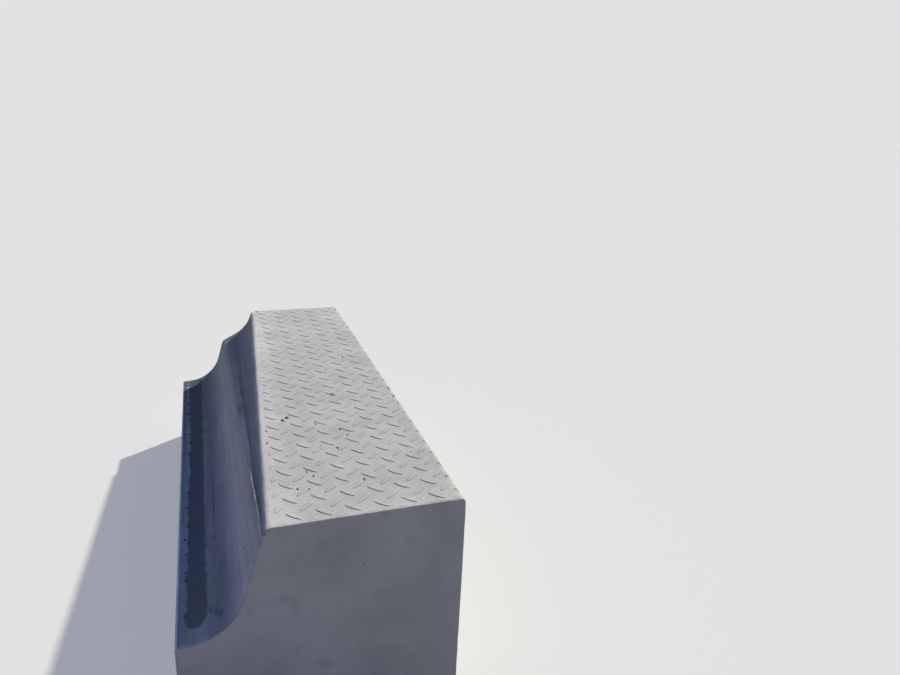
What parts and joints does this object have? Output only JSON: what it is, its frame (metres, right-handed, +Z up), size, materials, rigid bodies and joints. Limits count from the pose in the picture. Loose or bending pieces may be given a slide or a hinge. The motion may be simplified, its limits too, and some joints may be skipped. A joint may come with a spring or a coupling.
{
  "type": "concrete kerb stone",
  "caption": "Precast concrete boarding kerb: a flat tread with lens relief above a hollow, stepped road side whose upper recess runs out at one end.",
  "frame": {"origin": "middle of the bed, the flat underside", "axes": "+X from the road side to the pavement side, +Y along the kerb to the end with the two-stage front, +Z up to the tread"},
  "size_m": [0.4, 0.995, 0.33],
  "materials": {
    "concrete": "matte"
  },
  "bodies": {
    "root": {"kerb_stone": "concrete"}
  },
  "joints": []
}
